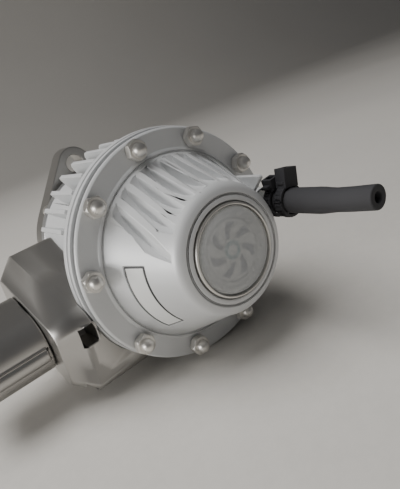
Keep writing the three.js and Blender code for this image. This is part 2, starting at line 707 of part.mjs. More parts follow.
// A loose two-lobed plate on the neck, held by the ring behind it.
function mountFlange() {
  const outline = new THREE.Shape();
  const lobeZ = FLANGE2_BOLT_Z;
  const spread = Math.acos((FLANGE2_WAIST_R - FLANGE2_LOBE_R) / lobeZ);
  const up = Math.PI / 2;
  outline.absarc(0, 0, FLANGE2_WAIST_R, -up + spread, up - spread, false);
  outline.absarc(0, lobeZ, FLANGE2_LOBE_R, up - spread, up + spread, false);
  outline.absarc(0, 0, FLANGE2_WAIST_R, up + spread, 3 * up - spread, false);
  outline.absarc(0, -lobeZ, FLANGE2_LOBE_R, 3 * up - spread, 3 * up + spread, false);
  const settings = {
    depth: FLANGE2_BACK - FLANGE2_FRONT - 2 * FLANGE2_EDGE,
    bevelEnabled: true,
    bevelSize: FLANGE2_EDGE,
    bevelThickness: FLANGE2_EDGE,
    bevelOffset: -FLANGE2_EDGE,
    bevelSegments: 1,
    curveSegments: 8,
  };
  const plate = new THREE.ExtrudeGeometry(outline, settings);
  plate.rotateX(Math.PI / 2).translate(0, FLANGE2_BACK - FLANGE2_EDGE, 0);
  return cut(solid(plate), [
    rodY(NECK_R + GAP + 0.1, BARREL_BACK, NECK_BACK, 0, 0, INNER_ROUND),
    rodY(CLIP_ROOM_R, CLIP_ROOM_FLOOR, NECK_BACK, 0, 0, INNER_ROUND),
    rodY(FLANGE2_HOLE_R, BARREL_BACK, NECK_BACK, 0, lobeZ, 12),
    rodY(FLANGE2_HOLE_R, BARREL_BACK, NECK_BACK, 0, -lobeZ, 12),
  ]);
}

function retainingRing() {
  const [front, back] = [CLIP_GROOVE[0] + GAP, CLIP_GROOVE[1] - GAP];
  const opening = box(-2, 2, front - 1, back + 1, 10, 40);
  const ears = [-1, 1].map((side) => {
    const spot = [side * 4, NECK_R + 2.4];
    return rodY(2.2, front, back, ...spot, 10).subtract(rodY(0.9, front - 1, back + 1, ...spot, 6));
  });
  const band = ring(NECK_R - 1, NECK_R + 2, front, back, INNER_ROUND);
  return joined([band.subtract(opening), ...ears]);
}

// ---------------------------------------------------------------- finishes
const PAINT = { color: 0xb9bcbd, roughness: 0.42, metalness: 0.75 };
const CASTING = { color: 0x8a8782, roughness: 0.55, metalness: 0.7 };
const MACHINED = { color: 0xc6c8ca, roughness: 0.3, metalness: 0.9 };
const STEEL = { color: 0xcac4bb, roughness: 0.2, metalness: 1 };
const SPRING = { color: 0x6f7276, roughness: 0.35, metalness: 1 };
const RUBBER = { color: 0x16181b, roughness: 0.7, metalness: 0 };
const BRASS = { color: 0xb59a5b, roughness: 0.35, metalness: 1 };
const PLATED = { color: 0x8f9193, roughness: 0.35, metalness: 0.9 };
const NYLON = { color: 0x0c0d0f, roughness: 0.5, metalness: 0 };
const SEAT_RING = { color: 0xe6e2d6, roughness: 0.5, metalness: 0 };
const CLEAR = { color: 0xdfe4e6, roughness: 0.05, metalness: 0 };
const LABEL = { color: 0xdadcda, roughness: 0.35, metalness: 0.4 };

// ---------------------------------------------------------------- assembly
function part(name, body, look, place = [0, 0, 0], turn = [0, 0, 0]) {
  const mesh = new THREE.Mesh(geometryOf(body), new THREE.MeshStandardMaterial(look));
  mesh.name = name;
  mesh.position.set(...place);
  mesh.rotation.set(...turn);
  return mesh;
}

function assembly(parts, place = [0, 0, 0]) {
  const holder = new THREE.Group();
  holder.position.set(...place);
  holder.add(...parts);
  return holder;
}

function flatTurn(degrees) {
  return [0, -degrees * DEGREE, 0];
}

function boltCircle() {
  return boltAngles().flatMap((angle, i) => {
    const [x, z] = onCircle(BOLT_CIRCLE_R, angle);
    return [
      part(`cap_nut_${i + 1}`, capNut(), STEEL, [x, 0, z], flatTurn(angle + NUT_TURN)),
      part(`flange_bolt_${i + 1}`, flangeBolt(), STEEL, [x, 0, z]),
    ];
  });
}

const cover = assembly([
  part('front_cover', frontCover(), PAINT),
  part('badge_bezel', badgeBezel(), STEEL),
  part('badge_plate', badgePlate(), MACHINED),
  part('badge_lens', badgeLens(), CLEAR),
  part('label_plate', labelShell(0.35, 0.3, 0.35), LABEL),
]);

const vacuumLine = assembly([
  part('vacuum_nipple', vacuumNipple(), PLATED),
  part('vacuum_hose', vacuumHose(), RUBBER),
  part('cable_tie_rear', cableTie(-22.4, [5, 4.4], 2), NYLON, [0, 0, 0], flatTurn(5)),
  part('cable_tie_front', cableTie(-28, [6.5, 7], 0.4), NYLON, [0, 0, 0], flatTurn(-12)),
], [NIPPLE_X, 0, NIPPLE_Z]);

const housing = assembly([
  part('diaphragm', diaphragm(), RUBBER),
  part('rear_housing', rearHousing(), PAINT),
  part('side_block', sideBlock(), PAINT),
  ...FIN_SECTORS.map((span, i) => part(`housing_fins_${i + 1}`, finSector(span), PAINT)),
  part('rod_bush', ring(ROD_R + GAP, 5.5, 8.6, 17.6, INNER_ROUND), BRASS),
  part('rod_seal', torus(4.6, 0.85, 0), RUBBER, [0, 19.3, 0]),
  ...boltCircle(),
]);

const valveTrain = assembly([
  part('return_spring', coil(12, 1.1, -24.1, 0.9, 4), SPRING),
  part('front_diaphragm_plate', frontPlate(), MACHINED),
  part('rear_diaphragm_plate', rearPlate(), MACHINED),
  part('rod_lock_nut', rodNut(-2.8, 3.4), STEEL),
  part('valve_rod', valveRod(), STEEL),
  part('pilot_valve', pilotValve(), BRASS),
  part('pickup_nut', rodNut(MAIN_BACK + PICKUP_GAP, PICKUP_NUT_H), STEEL),
  part('main_valve', mainValve(), MACHINED),
  part('valve_seal', ring(17.8, 21, MAIN_BACK + GAP, SEAT_Y - GAP, INNER_ROUND), SEAT_RING),
  part('main_spring', coil(18.6, 1.1, WALL_BACK + GAP, MAIN_FRONT - GAP, 5), SPRING),
]);

const inlet = assembly([
  part('inlet_cap', inletCap(), MACHINED),
  part('inlet_cap_seal', torus(27.1, 0.6, 0), RUBBER, [0, SEAT_Y + 2.5, 0]),
  ...capScrewSpots().map(([x, z], i) => (
    part(`inlet_screw_${i + 1}`, inletScrew(), STEEL, [x, 0, z]))),
  part('mounting_flange', mountFlange(), CASTING),
  part('flange_seal', torus(NECK_R - 0.75, 0.8, 0), RUBBER, [0, NECK_BACK - 8, 0]),
  part('retaining_ring', retainingRing(), SPRING),
]);

const outlet = assembly([
  part('outlet_pipe', outletPipe(), CASTING),
  part('outlet_seal', torus(SPIGOT_R - 0.4, 0.6, 0), RUBBER, [SEAL_X, PORT_Y, PORT_Z], [0, 0, Math.PI / 2]),
  part('outlet_grub_screw', grubScrew(), SPRING),
]);

const group = assembly([cover, vacuumLine, housing, valveTrain, inlet, outlet]);
const bounds = new THREE.Box3().setFromObject(group);
const middle = bounds.getCenter(new THREE.Vector3());
group.position.set(-middle.x, -middle.y, -bounds.min.z);
group.updateMatrixWorld(true);

export default group;
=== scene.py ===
import json
import math

import bmesh
import bpy
from mathutils import Matrix, Vector


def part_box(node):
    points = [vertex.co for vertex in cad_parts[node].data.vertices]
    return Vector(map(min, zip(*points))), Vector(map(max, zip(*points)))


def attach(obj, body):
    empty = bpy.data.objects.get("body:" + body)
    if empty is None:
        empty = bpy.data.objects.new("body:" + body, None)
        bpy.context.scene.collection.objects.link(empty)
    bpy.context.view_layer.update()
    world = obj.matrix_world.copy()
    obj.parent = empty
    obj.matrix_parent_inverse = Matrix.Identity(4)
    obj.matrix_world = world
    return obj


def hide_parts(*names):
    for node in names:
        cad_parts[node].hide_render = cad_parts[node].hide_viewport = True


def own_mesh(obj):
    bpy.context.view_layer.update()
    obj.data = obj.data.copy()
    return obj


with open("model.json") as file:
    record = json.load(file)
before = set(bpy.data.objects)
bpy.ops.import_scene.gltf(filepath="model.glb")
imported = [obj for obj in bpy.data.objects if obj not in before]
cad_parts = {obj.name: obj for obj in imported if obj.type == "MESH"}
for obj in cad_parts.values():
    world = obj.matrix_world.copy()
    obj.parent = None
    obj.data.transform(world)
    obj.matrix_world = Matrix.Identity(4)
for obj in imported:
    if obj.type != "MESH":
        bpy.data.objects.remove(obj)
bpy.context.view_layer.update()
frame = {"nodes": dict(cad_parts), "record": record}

bl_info = {
    "name": "Blow-off Valve Looks",
    "version": (1, 0, 0),
    "blender": (4, 5, 0),
    "location": "View3D > Sidebar > Valve",
    "description": "Builds the fine surfaces and finishes of a sequential blow-off valve round its frame",
    "category": "Object",
}

# Shapes are drawn in millimetres with zero where the main axis meets the cover flange's front face,
# +Y towards the inlet, and are then carried into the frame's metres.
MM = 0.001
FULL = 2 * math.pi
COVER_LOW, COVER_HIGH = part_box("front_cover")
COVER_BACK = 2.4
ZERO = Vector(((COVER_LOW.x + COVER_HIGH.x) / 2, COVER_HIGH.y - COVER_BACK * MM, (COVER_LOW.z + COVER_HIGH.z) / 2))
TO_FRAME = Matrix.Translation(ZERO) @ Matrix.Scale(MM, 4)

FLANGE_R = 44.0
BOLT_CIRCLE_R = 40.2
BOLT_ANGLES = [start + 36 * i for start in (28, 217.8) for i in range(5)]
HEX_R = 4.0
HOUSING_R = 44.8
HOUSING_BACK = 9.1
BARREL_R = 33.0
BARREL_BACK = 64.0
FIN_ANGLES = range(-100, 151, 10)
FIN_R = 43.0
FIN_T = 2.2
PORT = Vector((0, 38, -13.5))
PORT_TILT = math.radians(18)
COLLAR_OUT = -49.0
PIPE_END = -88.0
NIPPLE = Vector((30.3, 0, 4.9))
MAIN_BACK = 57.4
MAIN_FRONT = 53.4
SEAT_Y = 59.2
NECK_R = 24.0
NECK_BACK = 85.0

SLOTS = {row["node"]: row["material_slot"] for row in frame["record"]["subparts"]}
BODY_OF = {n: body for body, nodes in frame["record"]["behaviour"]["bodies"].items() for n in nodes}


# ------------------------------------------------------------------ shapes
def tidied(bm, merge=1e-3):
    bmesh.ops.remove_doubles(bm, verts=bm.verts, dist=merge)
    bmesh.ops.dissolve_degenerate(bm, dist=merge, edges=bm.edges)
    bmesh.ops.recalc_face_normals(bm, faces=bm.faces)
    return bm


def turned(outline, steps=96, closed=False, turn=FULL):
    """A line of [radius, y] points spun about the main axis."""
    bm = bmesh.new()
    points = [bm.verts.new((r, y, 0)) for r, y in outline]
    pairs = list(zip(points, points[1:]))
    if closed:
        pairs.append((points[-1], points[0]))
    edges = [bm.edges.new(pair) for pair in pairs]
    whole = abs(turn - FULL) < 1e-6
    bmesh.ops.spin(bm, geom=points + edges, cent=(0, 0, 0), axis=(0, 1, 0), angle=turn,
                   steps=steps, use_merge=whole, use_duplicate=False)
    if closed and not whole:
        bmesh.ops.holes_fill(bm, edges=[e for e in bm.edges if e.is_boundary], sides=0)
    return tidied(bm)


def pushed(points, step):
    """A flat outline of points pushed along a step."""
    bm = bmesh.new()
    face = bm.faces.new([bm.verts.new(p) for p in points])
    out = bmesh.ops.extrude_face_region(bm, geom=[face])
    moved = [g for g in out["geom"] if isinstance(g, bmesh.types.BMVert)]
    bmesh.ops.translate(bm, verts=moved, vec=step)
    return tidied(bm)


def rod(radius, start, end, sides=32, end_radius=None):
    start, end = Vector(start), Vector(end)
    way = end - start
    place = Matrix.Translation((start + end) / 2) @ way.to_track_quat("Z", "Y").to_matrix().to_4x4()
    bm = bmesh.new()
    bmesh.ops.create_cone(bm, cap_ends=True, segments=sides, radius1=radius,
                          radius2=radius if end_radius is None else end_radius, depth=way.length, matrix=place)
    return bm


def block(low, high):
    low, high = Vector(low), Vector(high)
    bm = bmesh.new()
    size = Matrix.Diagonal((*(high - low), 1))
    bmesh.ops.create_cube(bm, size=1, matrix=Matrix.Translation((low + high) / 2) @ size)
    return bm


def gathered(parts):
    """Several shapes in one mesh, as they are."""
    whole = bmesh.new()
    for bm in parts:
        mesh = bpy.data.meshes.new("part")
        bm.to_mesh(mesh)
        bm.free()
        whole.from_mesh(mesh)
        bpy.data.meshes.remove(mesh)
    return whole


def standing(bm, name):
    mesh = bpy.data.meshes.new(name)
    bm.to_mesh(mesh)
    bm.free()
    obj = bpy.data.objects.new(name, mesh)
    bpy.context.scene.collection.objects.link(obj)
    return obj


def worked(body, tool, way):
    """The body after a boolean with the tool: DIFFERENCE, UNION or INTERSECT."""
    one, two = standing(body, "work_body"), standing(tool, "work_tool")
    step = one.modifiers.new("work", "BOOLEAN")
    step.operation = way
    step.solver = "EXACT"
    step.object = two
    depsgraph = bpy.context.evaluated_depsgraph_get()
    mesh = bpy.data.meshes.new_from_object(one.evaluated_get(depsgraph))
    bm = bmesh.new()
    bm.from_mesh(mesh)
    for obj in (one, two):
        data = obj.data
        bpy.data.objects.remove(obj)
        bpy.data.meshes.remove(data)
    bpy.data.meshes.remove(mesh)
    return tidied(bm, 2e-3)


def cut(body, tools):
    for tool in tools:
        body = worked(body, tool, "DIFFERENCE")
    return body


def put(bm, place=(0, 0, 0), degrees=0):
    """Turns a shape about the main axis the way the bolt angles run, then moves it."""
    turn = Matrix.Rotation(-math.radians(degrees), 4, "Y")
    bm.transform(Matrix.Translation(place) @ turn)
    return bm


def on_circle(radius, degrees):
    a = math.radians(degrees)
    return radius * math.cos(a), 0, radius * math.sin(a)


def show(name, bm, stands_for, edge=0.25, segments=2, angle=28, slot=None):
    """Makes a finished piece of a shape: carried into the frame, riding, and standing for its nodes."""
    bm.transform(TO_FRAME)
    obj = standing(bm, name)
    slot = slot or SLOTS[stands_for[0]]
    obj.data.materials.append(finish(slot))
    for face in obj.data.polygons:
        face.use_smooth = True
    if edge:
        soft = obj.modifiers.new("soft_edges", "BEVEL")
        soft.width = edge * MM
        soft.segments = segments
        soft.limit_method = "ANGLE"
        soft.angle_limit = math.radians(angle)
        soft.use_clamp_overlap = False
        soft.harden_normals = True
        soft.miter_outer = "MITER_ARC"
    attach(obj, BODY_OF[stands_for[0]])
    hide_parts(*stands_for)
    return obj


# ------------------------------------------------------------------ finishes
def group_tree(name, inputs, outputs):
    tree = bpy.data.node_groups.new(name, "ShaderNodeTree")
    for label, kind, value in inputs:
        socket = tree.interface.new_socket(label, in_out="INPUT", socket_type=kind)
        if value is not None:
            socket.default_value = value
    for label, kind in outputs:
        tree.interface.new_socket(label, in_out="OUTPUT", socket_type=kind)
    return tree, tree.nodes.new("NodeGroupInput"), tree.nodes.new("NodeGroupOutput")


def node(tree, kind, links=None, **settings):
    made = tree.nodes.new(kind)
    for key, value in settings.items():
        setattr(made, key, value)
    for socket, source in (links or {}).items():
        if isinstance(source, bpy.types.NodeSocket):
            tree.links.new(source, made.inputs[socket])
        else:
            made.inputs[socket].default_value = source
    return made


def mixed(tree, factor, a, b):
    """A colour between two, as a node whose output is its colour."""
    mix = tree.nodes.new("ShaderNodeMix")
    mix.data_type = "RGBA"
    for index, source in ((0, factor), (6, a), (7, b)):
        if isinstance(source, bpy.types.NodeSocket):
            tree.links.new(source, mix.inputs[index])
        else:
            mix.inputs[index].default_value = source
    return mix.outputs[2]


def grain_group():
    """Fine grain over slow clouds: a colour between two, a roughness between two, and a height."""
    name = "fine_grain"
    if name in bpy.data.node_groups:
        return bpy.data.node_groups[name]
    tree, inside, out = group_tree(name, [
        ("Vector", "NodeSocketVector", None), ("Grain", "NodeSocketFloat", 1500.0),
        ("Cloud", "NodeSocketFloat", 60.0), ("Dark", "NodeSocketColor", (0.3, 0.3, 0.3, 1)),
        ("Light", "NodeSocketColor", (0.7, 0.7, 0.7, 1)), ("Smooth", "NodeSocketFloat", 0.3),
        ("Rough", "NodeSocketFloat", 0.5),
    ], [("Color", "NodeSocketColor"), ("Roughness", "NodeSocketFloat"), ("Height", "NodeSocketFloat")])
    src = inside.outputs
    fine = node(tree, "ShaderNodeTexNoise", {"Vector": src["Vector"], "Scale": src["Grain"], "Detail": 2.0, "Roughness": 0.6})
    slow = node(tree, "ShaderNodeTexNoise", {"Vector": src["Vector"], "Scale": src["Cloud"], "Detail": 4.0, "Roughness": 0.55})
    both = node(tree, "ShaderNodeMath", {0: fine.outputs["Fac"], 1: slow.outputs["Fac"]}, operation="ADD")
    spread = node(tree, "ShaderNodeMapRange", {"Value": both.outputs[0], "From Min": 0.75, "From Max": 1.25})
    rough = node(tree, "ShaderNodeMapRange", {"Value": spread.outputs[0], "To Min": src["Smooth"], "To Max": src["Rough"]})
    tree.links.new(mixed(tree, spread.outputs[0], src["Dark"], src["Light"]), out.inputs["Color"])
    tree.links.new(rough.outputs[0], out.inputs["Roughness"])
    tree.links.new(fine.outputs["Fac"], out.inputs["Height"])
    return tree


def lathe_group():
    """Fine turned lines round the main axis, as a height and a mask."""
    name = "turned_lines"
    if name in bpy.data.node_groups:
        return bpy.data.node_groups[name]
    tree, inside, out = group_tree(name, [
        ("Vector", "NodeSocketVector", None), ("Lines", "NodeSocketFloat", 400.0),
    ], [("Mask", "NodeSocketFloat"), ("Height", "NodeSocketFloat")])
    wave = node(tree, "ShaderNodeTexWave", {
        "Vector": inside.outputs["Vector"], "Scale": inside.outputs["Lines"],
        "Distortion": 0.4, "Detail": 1.0, "Detail Scale": 2.0,
    }, wave_type="RINGS", rings_direction="Y")
    tree.links.new(wave.outputs["Fac"], out.inputs["Height"])
    tree.links.new(wave.outputs["Fac"], out.inputs["Mask"])
    return tree


def shaded(name):
    """A material with its shader, and a vector centred on the main axis."""
    mat = bpy.data.materials.new(name)
    mat.use_nodes = True
    tree = mat.node_tree
    shader = tree.nodes["Principled BSDF"]
    place = node(tree, "ShaderNodeTexCoord")
    centred = node(tree, "ShaderNodeMapping", {"Vector": place.outputs["Object"], "Location": tuple(-ZERO)})
    return mat, tree, shader, centred.outputs[0]


def grained(name, dark, light, smooth, rough, metallic=0.0, grain=1500.0, cloud=60.0, bump=0.1, lines=0.0, **plain):
    mat, tree, shader, vector = shaded(name)
    grains = node(tree, "ShaderNodeGroup")
    grains.node_tree = grain_group()
    tree.links.new(vector, grains.inputs["Vector"])
    for socket, value in (("Grain", grain), ("Cloud", cloud), ("Dark", (*dark, 1)), ("Light", (*light, 1)),
                          ("Smooth", smooth), ("Rough", rough)):
        grains.inputs[socket].default_value = value
    tree.links.new(grains.outputs["Color"], shader.inputs["Base Color"])
    tree.links.new(grains.outputs["Roughness"], shader.inputs["Roughness"])
    height = grains.outputs["Height"]
    if lines:
        turns = node(tree, "ShaderNodeGroup")
        turns.node_tree = lathe_group()
        tree.links.new(vector, turns.inputs["Vector"])
        turns.inputs["Lines"].default_value = lines
        height = node(tree, "ShaderNodeMath", {0: height, 1: turns.outputs["Height"]}, operation="ADD").outputs[0]
    relief = node(tree, "ShaderNodeBump", {"Height": height, "Strength": bump, "Distance": 0.00005})
    tree.links.new(relief.outputs[0], shader.inputs["Normal"])
    shader.inputs["Metallic"].default_value = metallic
    for socket, value in plain.items():
        shader.inputs[socket.replace("_", " ").title().replace("Ior", "IOR")].default_value = value
    return mat


def silver_paint():
    c = bpy.context.scene.valve_colours
    light = tuple(c.silver)
    return grained("silver_paint", [0.72 * v for v in light], light, 0.27, 0.38, metallic=1.0,
                   grain=2300, cloud=70, bump=0.22)


# The casting's dark base colour is partly the raw casting's own warm grey and partly painted shade: it is darkened to
# the shade that the side block and the side pipe sit in.
def raw_casting():
    light = tuple(bpy.context.scene.valve_colours.casting_and_shade)
    return grained("raw_casting", [0.62 * v for v in light], light, 0.42, 0.62, metallic=0.85,
                   grain=1100, cloud=110, bump=0.28)


def clear_resin():
    mat, tree, shader, vector = shaded("clear_resin")
    smear = node(tree, "ShaderNodeTexNoise", {"Vector": vector, "Scale": 90.0, "Detail": 3.0})
    rough = node(tree, "ShaderNodeMapRange", {"Value": smear.outputs["Fac"], "To Min": 0.0, "To Max": 0.012})
    tree.links.new(rough.outputs[0], shader.inputs["Roughness"])
    tint = mixed(tree, smear.outputs["Fac"], (0.93, 0.95, 0.97, 1), (1, 1, 1, 1))
    tree.links.new(tint, shader.inputs["Base Color"])
    shader.inputs["Transmission Weight"].default_value = 1.0
    shader.inputs["IOR"].default_value = 1.49
    return mat


def emblem():
    """A plain compressor-wheel mark: curved dark blades and a teal hub on brushed silver."""
    mat, tree, shader, vector = shaded("emblem")
    parts = node(tree, "ShaderNodeSeparateXYZ", {"Vector": vector})
    flat = node(tree, "ShaderNodeCombineXYZ", {"X": parts.outputs["X"], "Y": parts.outputs["Z"]})
    radius = node(tree, "ShaderNodeVectorMath", {0: flat.outputs[0]}, operation="LENGTH").outputs["Value"]
    angle = node(tree, "ShaderNodeMath", {0: parts.outputs["Z"], 1: parts.outputs["X"]}, operation="ARCTAN2").outputs[0]

    def maths(way, a, b=0.0):
        return node(tree, "ShaderNodeMath", {0: a, 1: b}, operation=way).outputs[0]

    def between(low, high):
        inner = maths("GREATER_THAN", radius, low * MM)
        outer = maths("LESS_THAN", radius, high * MM)
        return maths("MULTIPLY", inner, outer)

    sweep = maths("ADD", maths("MULTIPLY", angle, 7.0), maths("MULTIPLY", radius, 520.0))
    blade = maths("MULTIPLY", maths("GREATER_THAN", maths("SINE", sweep), 0.15), between(4.2, 9.6))
    ticks = maths("MULTIPLY", maths("GREATER_THAN", maths("SINE", maths("MULTIPLY", angle, 48.0)), 0.2),
                  between(11.8, 13.4))
    brushed = node(tree, "ShaderNodeTexNoise", {"Vector": vector, "Scale": 700.0, "Detail": 2.0})
    base = mixed(tree, brushed.outputs["Fac"], (0.34, 0.34, 0.33, 1), (0.60, 0.60, 0.58, 1))
    base = mixed(tree, blade, base, (0.010, 0.018, 0.045, 1))
    base = mixed(tree, between(2.0, 3.4), base, (0.004, 0.13, 0.14, 1))
    base = mixed(tree, ticks, base, (0.06, 0.065, 0.07, 1))
    base = mixed(tree, between(10.5, 10.9), base, (0.02, 0.022, 0.03, 1))
    tree.links.new(base, shader.inputs["Base Color"])
    rough = node(tree, "ShaderNodeMapRange", {"Value": brushed.outputs["Fac"], "To Min": 0.16, "To Max": 0.32})
    tree.links.new(rough.outputs[0], shader.inputs["Roughness"])
    shader.inputs["Metallic"].default_value = 0.95
    return mat


FINISHES = {
    "silver_paint": silver_paint,
    "raw_casting": raw_casting,
    "machined_aluminium": lambda: grained("machined_aluminium", (0.60, 0.61, 0.62), (0.80, 0.81, 0.82), 0.22, 0.36,
                                          metallic=1.0, grain=900, bump=0.12, lines=900.0),
    "polished_steel": lambda: grained("polished_steel", (0.42, 0.38, 0.33), (0.62, 0.58, 0.52), 0.10, 0.24,
                                      metallic=1.0, grain=700, cloud=250, bump=0.03),
    "dark_steel": lambda: grained("dark_steel", (0.20, 0.20, 0.21), (0.36, 0.36, 0.37), 0.25, 0.42,
                                  metallic=1.0, grain=900, bump=0.06),
    "bronze": lambda: grained("bronze", (0.52, 0.38, 0.17), (0.72, 0.56, 0.30), 0.22, 0.38,
                              metallic=1.0, grain=900, bump=0.08, lines=900.0),
    "plated_brass": lambda: grained("plated_brass", (0.40, 0.39, 0.37), (0.58, 0.57, 0.54), 0.28, 0.42,
                                    metallic=0.95, grain=900, bump=0.08),
    "black_rubber": lambda: grained("black_rubber", (0.003, 0.0035, 0.004), (0.009, 0.010, 0.011), 0.42, 0.60,
                                    grain=1600, cloud=90, bump=0.18, ior=1.14),
    "black_nylon": lambda: grained("black_nylon", (0.002, 0.002, 0.0025), (0.006, 0.006, 0.007), 0.28, 0.42,
                                   grain=1300, cloud=120, bump=0.08, ior=1.14),
    "seat_polymer": lambda: grained("seat_polymer", (0.72, 0.70, 0.64), (0.85, 0.83, 0.78), 0.35, 0.50,
                                    grain=900, bump=0.05),
    "clear_resin": clear_resin,
    "silver_label": lambda: grained("silver_label", (0.70, 0.71, 0.70), (0.82, 0.83, 0.82), 0.24, 0.34,
                                    metallic=0.45, grain=1400, cloud=80, bump=0.03),
    "label_edge": lambda: grained("label_edge", (0.02, 0.02, 0.022), (0.05, 0.05, 0.055), 0.35, 0.5, grain=1400),
    "emblem": emblem,
}


def finish(slot):
    return bpy.data.materials.get(slot) or FINISHES[slot]()


# ------------------------------------------------------------------ cover
FIRST_POCKET_TOP = [24.0, 23.2, 20.2, 16.6, 11.4, 6.2]


def cone_r(y):
    return 34.8 + 0.48 * y


def cone_top(x, y):
    return math.sqrt(cone_r(y) ** 2 - x * x)


def cover_pocket(x, half, floor_half, depth):
    """The space between two plates, narrower at its floor so that the plates have draft."""
    line = [(-1.9, 0), (-2.9, 0.42), (-7.5, 0.94), (-13, 0.9), (-19, 0.52), (-25.0, 0)]
    near = -21.5
    tops = [cone_top(x, y) if x > near else FIRST_POCKET_TOP[i] for i, (y, _) in enumerate(line)]
    floor = [(y, top - depth * share) for (y, share), top in zip(line, tops)]
    outline = [*floor, (line[-1][0], tops[-1] + 12), (line[0][0], tops[0] + 12)]
    bm = pushed([(x - half, y, z) for y, z in outline], (2 * half, 0, 0))
    low = {(round(y, 3), round(z, 3)) for y, z in floor[1:-1]}
    for v in bm.verts:
        if (round(v.co.y, 3), round(v.co.z, 3)) in low:
            v.co.x = x + math.copysign(floor_half, v.co.x - x)
    return bm


def tall_plate(x, half):
    top = 17.8
    outline = [(-8, top), (-24.9, top), (-25.6, top - 0.4), (-25.8, top - 1.2), (-19.4, top - 7), (-8, top - 7)]
    return pushed([(x - half, y, z) for y, z in outline], (2 * half, 0, 0))


def cover_shape():
    sizes = bpy.context.scene.valve_sizes
    pitch, first, count = 5.4, -26.0, 9
    outside = [
        (0, -24.4), (17, -24.4), (18.8, -22.5), (25.5, -9), (29.5, -4), (31, -1.5), (31, COVER_BACK),
        (43.2, COVER_BACK), (FLANGE_R, 1.7), (FLANGE_R, 0.7), (43.3, 0), (36.3, 0), (36.0, -0.5), (35.4, -0.9),
        (34.9, -0.8), (34.6, -0.3), (34.5, -0.6),
    ]
    outside += [(cone_r(y), y) for y in (-1.6, -8, -16, -24.2)]
    outside += [
        (22.9, -25.4), (22.55, -26.4), (21.8, -27.3), (20.8, -27.95), (19.3, -28.35), (19.05, -27.9), (18.6, -27.9),
        (18.35, -28.4), (17.6, -28.6), (16.9, -28.6), (16.6, -28.3), (16.6, -26.8), (0, -26.8),
    ]
    body = turned(outside, steps=128)
    half = (pitch - sizes.plate_crest / MM) / 2
    pockets = [cover_pocket(first + pitch * (i + 0.5), half, half * 0.66, sizes.pocket_depth / MM) for i in range(count)]
    body = worked(body, gathered(pockets), "DIFFERENCE")
    body = worked(body, tall_plate(first + pitch * count, 1.0), "UNION")
    boss = rod(5, (NIPPLE.x, -15, NIPPLE.z), (NIPPLE.x, -4, NIPPLE.z), 48)
    body = worked(body, boss, "UNION")

    def spot(radius, y0, y1):
        return rod(radius, (NIPPLE.x, y0, NIPPLE.z), (NIPPLE.x, y1, NIPPLE.z), 48)

    return cut(body, [spot(4.8, -21, -15), spot(6.6, -30.4, -20), label_band(0.55, 3, 0)])


def label_band(inset, height, margin):
    """A piece of cone shell at the label's place, closed at its ends."""
    y0, y1 = -15.2 + margin, -7.4 - margin
    profile = [
        (cone_r(y0) - inset, y0), (cone_r(y1) - inset, y1),
        (cone_r(y1) - inset + height, y1), (cone_r(y0) - inset + height, y0),
    ]
    span = math.radians(56 - 4 * margin)
    bm = turned(profile, steps=28, closed=True, turn=span)
    return put(bm, degrees=194.7 + math.degrees(span) / 2)


class VALVE_OT_cover(bpy.types.Operator):
    """Make the conical cover with its upright plates"""

    bl_idname = "valve.cover"
    bl_label = "Cover"

    def execute(self, context):
        show("cover_shell", cover_shape(), ["front_cover"], edge=context.scene.valve_sizes.edge / MM)
        return {"FINISHED"}


class VALVE_OT_label(bpy.types.Operator):
    """Make the blank label and its dark edge"""

    bl_idname = "valve.label"
    bl_label = "Blank label"

    def execute(self, context):
        label = show("blank_label", label_band(0.22, 0.12, 0.75), ["label_plate"], edge=0.05)
        edge = label_band(0.4, 0.16, 0.25)
        edge.transform(TO_FRAME)
        obj = standing(edge, "label_border")
        obj.data.materials.append(finish("label_edge"))
        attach(obj, BODY_OF["label_plate"])
        return {"FINISHED"} if label else {"CANCELLED"}


class VALVE_OT_badge(bpy.types.Operator):
    """Make the badge: a bright ring, a plain wheel mark and a clear dome"""

    bl_idname = "valve.badge"
    bl_label = "Badge"

    def execute(self, context):
        ring = turned([(15.3, -27.1), (16.2, -27.1), (16.2, -28.9), (16.0, -29.25), (15.6, -29.4), (15.3, -29.2)],
                      closed=True, steps=128)
        show("badge_ring", ring, ["badge_bezel"], edge=0.12)
        face = turned([(0, -27.1), (14.9, -27.1), (14.9, -27.6), (11.4, -27.6), (11.3, -27.8), (11.0, -27.85),
                       (10.9, -27.6), (0, -27.6)], steps=96)
        obj = show("badge_face", face, ["badge_plate"], edge=0.04)
        obj.data.materials[0] = finish("emblem")
        dome = [(0, -27.9), (14.8, -27.9), (14.9, -28.2)]
        dome += [(14.9 * math.cos(a), -28.4 - 3.0 * math.sin(a)) for a in [math.radians(6 * i) for i in range(1, 15)]]
        dome += [(0, -31.4)]
        show("badge_dome", turned(dome, steps=96), ["badge_lens"], edge=0)
        return {"FINISHED"}


# ------------------------------------------------------------------ vacuum line
def hose_shape():
    """Stretched over the nipple, slack beyond it, and lifting a little towards its open end."""
    back, front, tip = -19.6, -65.0, -45.0
    wide, thin, bore, fit = 4.62, 4.05, 1.85, 2.7
    outline = [(fit, back), (wide - 0.3, back), (wide, back - 0.3)]
    for y in (-21, -24.6, -25.6, -30.4, -36, -41):
        outline.append((wide - (0.12 if y in (-21, -24.6) else 0), y))
    outline += [(wide + 0.03, tip + 2.5), (wide - 0.1, tip), (thin + 0.2, tip - 2.5), (thin, tip - 5), (thin, -56)]
    outline += [(thin, front + 0.5), (thin - 0.12, front + 0.12), (thin - 0.45, front), (bore + 0.35, front)]
    outline += [(bore + 0.08, front + 0.1), (bore, front + 0.4), (bore, -56), (bore, tip - 3), (fit, tip)]
    bm = turned(outline, steps=48, closed=True)
    lift = bpy.context.scene.valve_sizes.hose_lift / MM
    for v in bm.verts:
        share = max(0.0, (-38 - v.co.y) / 27)
        v.co.z += lift * share * share
    return put(bm, NIPPLE)


